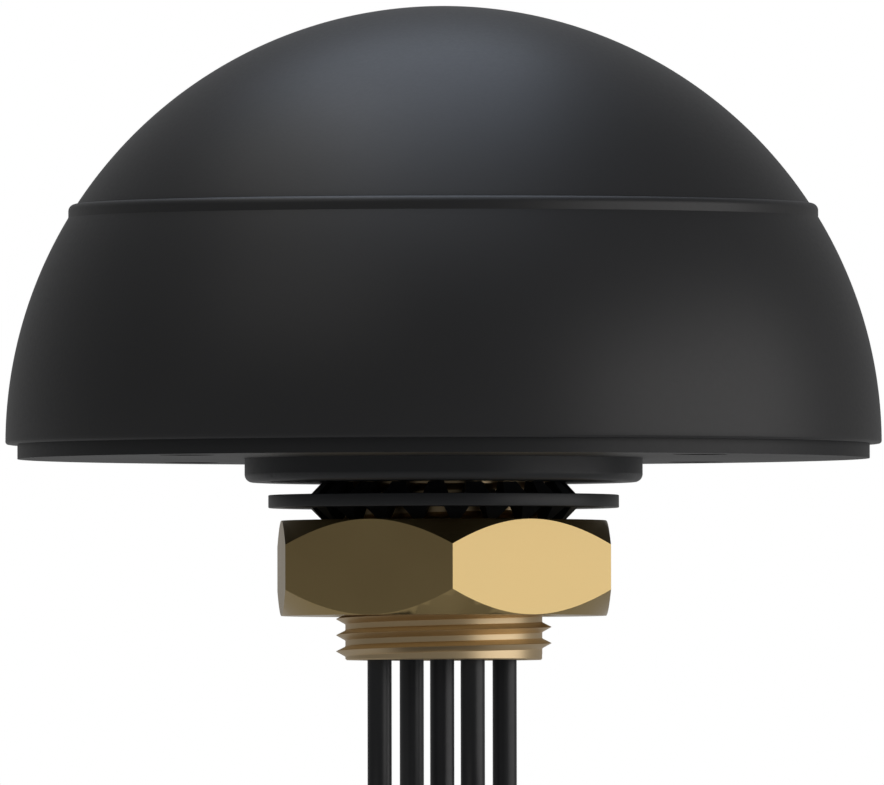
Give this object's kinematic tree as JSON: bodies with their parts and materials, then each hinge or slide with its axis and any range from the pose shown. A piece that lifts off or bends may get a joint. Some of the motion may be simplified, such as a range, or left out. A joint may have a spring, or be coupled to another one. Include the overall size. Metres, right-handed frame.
{
  "type": "mimo roof antenna",
  "caption": "Low black dome antenna on a hollow threaded stud with gasket, toothed washer and hexagon nut, its coaxial leads hanging from the stud.",
  "frame": {"origin": "on the stud's axis, in the plane of the mounting gasket's underside, where the antenna meets the roof", "axes": "+Z along the stud's axis toward the dome's top; -Y toward the viewer of the picture, +X to the right"},
  "size_m": [0.0814, 0.0814, 0.1783],
  "materials": {
    "dome_plastic": "satin moulded",
    "base_plastic": "satin moulded",
    "seal_rubber": "matte",
    "gasket_rubber": "matte",
    "screw_steel": "zinc plated",
    "stud_brass": "turned",
    "nut_brass": "turned",
    "washer_steel": "blackened",
    "potting": "cast resin",
    "board": "solder mask",
    "blade": "solder mask",
    "bracket_steel": "tinned",
    "shield_steel": "tinned",
    "patch_ceramic": "fired ceramic",
    "contact_gold": "gold plated",
    "lead_jacket": "satin",
    "tie_plastic": "satin",
    "sleeve_plastic": "shrunk",
    "insulator": "smooth"
  },
  "bodies": {
    "antenna": {"dome_cap": "dome_plastic", "dome_skirt": "dome_plastic", "base_plate": "base_plastic", "base_seal": "seal_rubber", "base_screws": "screw_steel", "threaded_stud": "stud_brass", "mounting_gasket": "gasket_rubber", "toothed_washer": "washer_steel", "hex_nut": "nut_brass", "lead_seal": "potting", "ground_board": "board", "board_screws": "screw_steel", "low_band_radiator_1": "blade", "low_band_radiator_2": "blade", "high_band_radiator_1": "blade", "high_band_radiator_2": "blade", "gnss_bracket": "bracket_steel", "gnss_board": "board", "gnss_shield": "shield_steel", "gnss_patch": "patch_ceramic", "gnss_feed_pin": "contact_gold", "inner_leads": "lead_jacket", "lead_coil": "lead_jacket", "coil_ties": "tie_plastic", "plug_contacts": "contact_gold", "plug_insulators": "insulator", "lead_1": "lead_jacket", "lead_tail_1": "lead_jacket", "plug_sleeve_1": "sleeve_plastic", "plug_ferrule_1": "contact_gold", "plug_body_1": "contact_gold", "lead_2": "lead_jacket", "lead_tail_2": "lead_jacket", "plug_sleeve_2": "sleeve_plastic", "plug_ferrule_2": "contact_gold", "plug_body_2": "contact_gold", "lead_3": "lead_jacket", "lead_tail_3": "lead_jacket", "plug_sleeve_3": "sleeve_plastic", "plug_ferrule_3": "contact_gold", "plug_body_3": "contact_gold", "lead_4": "lead_jacket", "lead_tail_4": "lead_jacket", "plug_sleeve_4": "sleeve_plastic", "plug_ferrule_4": "contact_gold", "plug_body_4": "contact_gold", "lead_5": "lead_jacket", "lead_tail_5": "lead_jacket", "plug_sleeve_5": "sleeve_plastic", "plug_ferrule_5": "contact_gold", "plug_body_5": "contact_gold"},
    "coupling_1": {"plug_nut_1": "contact_gold"},
    "coupling_2": {"plug_nut_2": "contact_gold"},
    "coupling_3": {"plug_nut_3": "contact_gold"},
    "coupling_4": {"plug_nut_4": "contact_gold"},
    "coupling_5": {"plug_nut_5": "contact_gold"}
  },
  "joints": [
    {"name": "plug_nut_1_turn", "type": "hinge", "parent": "antenna", "child": "coupling_1", "pos_m": [0.0081, -0.006, -0.1255], "axis": [0, 0, 1], "continuous": true},
    {"name": "plug_nut_2_turn", "type": "hinge", "parent": "antenna", "child": "coupling_2", "pos_m": [0.0193, 0.012, -0.1267], "axis": [0, 0, 1], "continuous": true},
    {"name": "plug_nut_3_turn", "type": "hinge", "parent": "antenna", "child": "coupling_3", "pos_m": [0.0193, 0, -0.1239], "axis": [0, 0, 1], "continuous": true},
    {"name": "plug_nut_4_turn", "type": "hinge", "parent": "antenna", "child": "coupling_4", "pos_m": [0.0193, -0.012, -0.1275], "axis": [0, 0, 1], "continuous": true},
    {"name": "plug_nut_5_turn", "type": "hinge", "parent": "antenna", "child": "coupling_5", "pos_m": [0.0081, 0.006, -0.1261], "axis": [0, 0, 1], "continuous": true}
  ]
}
